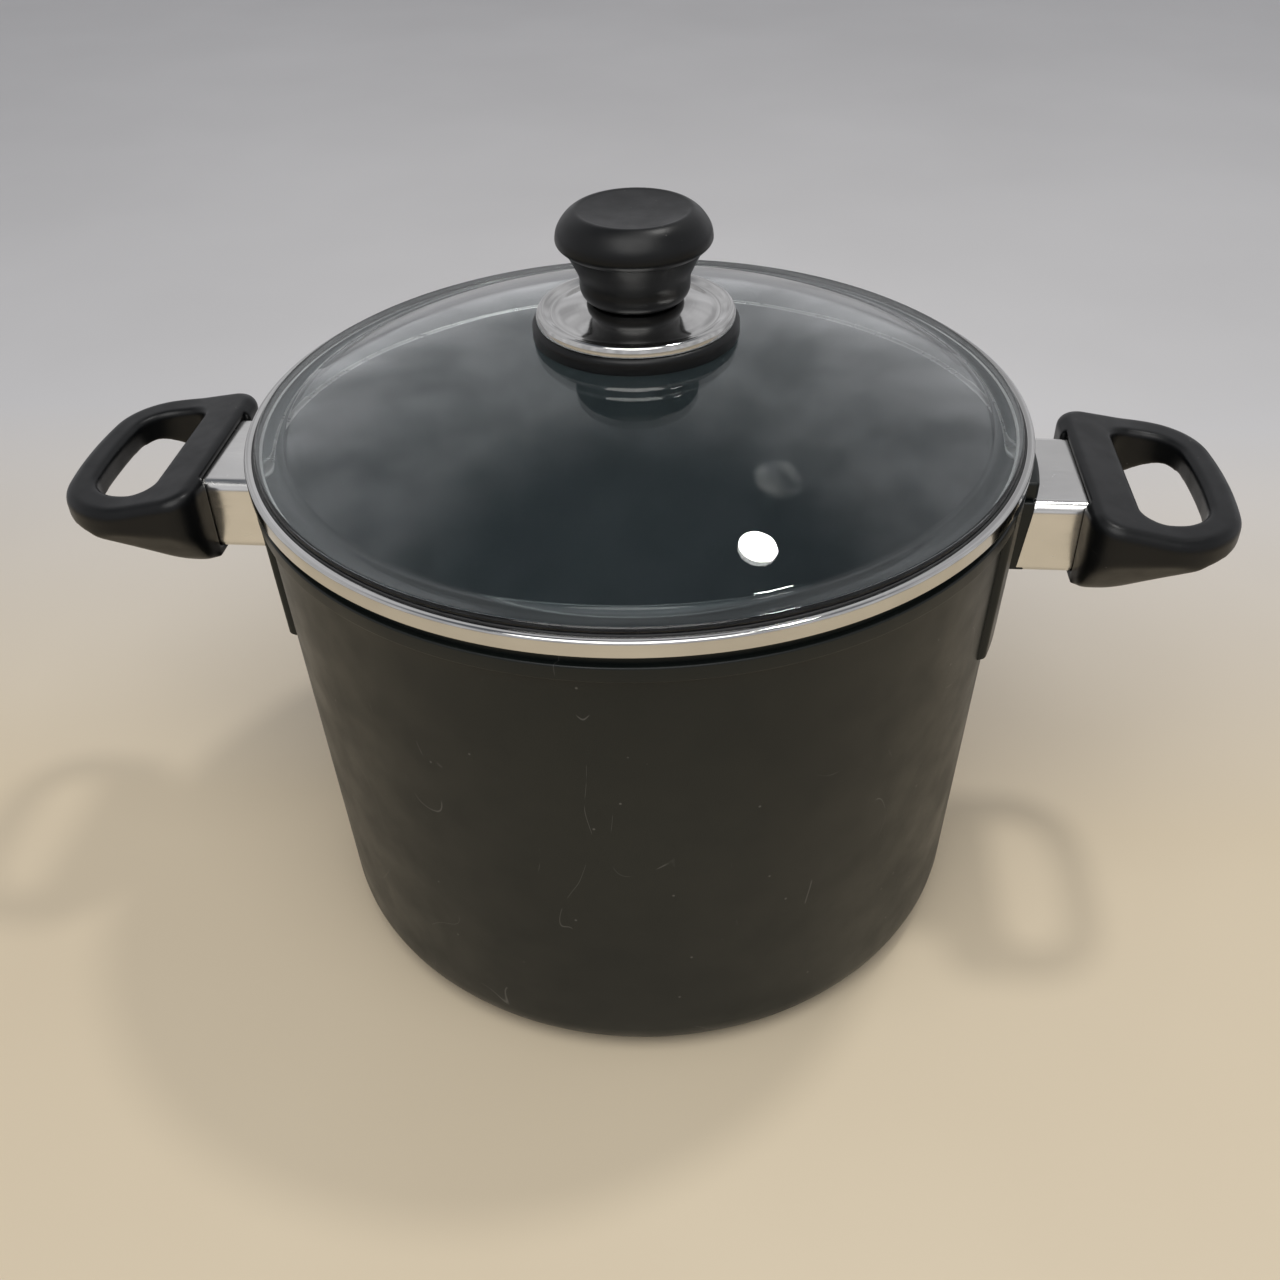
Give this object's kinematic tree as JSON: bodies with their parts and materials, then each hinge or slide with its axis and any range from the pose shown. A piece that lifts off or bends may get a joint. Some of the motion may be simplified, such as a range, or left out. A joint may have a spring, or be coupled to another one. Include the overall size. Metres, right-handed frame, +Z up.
{
  "type": "two-handled pot with glass lid",
  "caption": "Deep tapered cast pot with D-shaped side handles on steel ferrules and a domed glass lid with a steel rim and a round knob.",
  "frame": {"origin": "centre of the base where it meets the stove", "axes": "+X through the right-hand handle, +Y away from the user, +Z up"},
  "size_m": [0.398, 0.26, 0.2582],
  "materials": {
    "coated_cast": "matt charcoal coating on cast aluminium",
    "lid_glass": "clear tempered glass",
    "polished_steel": "polished stainless steel",
    "brushed_steel": "finely brushed stainless steel",
    "phenolic": "satin black moulded phenolic",
    "seal_rubber": "black silicone",
    "insert_brass": "turned brass",
    "fastener_steel": "zinc-plated steel"
  },
  "bodies": {
    "pot": {"pot_body": "coated_cast", "left_ferrule": "brushed_steel", "left_grip": "phenolic", "left_grip_screw": "fastener_steel", "left_grip_washer": "fastener_steel", "right_ferrule": "brushed_steel", "right_grip": "phenolic", "right_grip_screw": "fastener_steel", "right_grip_washer": "fastener_steel"},
    "lid": {"lid_glass": "lid_glass", "lid_rim": "polished_steel", "lid_rim_seal": "seal_rubber", "knob": "phenolic", "knob_disc": "polished_steel", "knob_ring": "phenolic", "knob_insert": "insert_brass", "knob_screw": "fastener_steel", "knob_washer": "fastener_steel", "knob_gasket": "seal_rubber"}
  },
  "joints": [
    {"name": "lid_lift", "type": "slide", "parent": "pot", "child": "lid", "axis": [0, 0, 1], "range_m": [0, 0.12]}
  ]
}
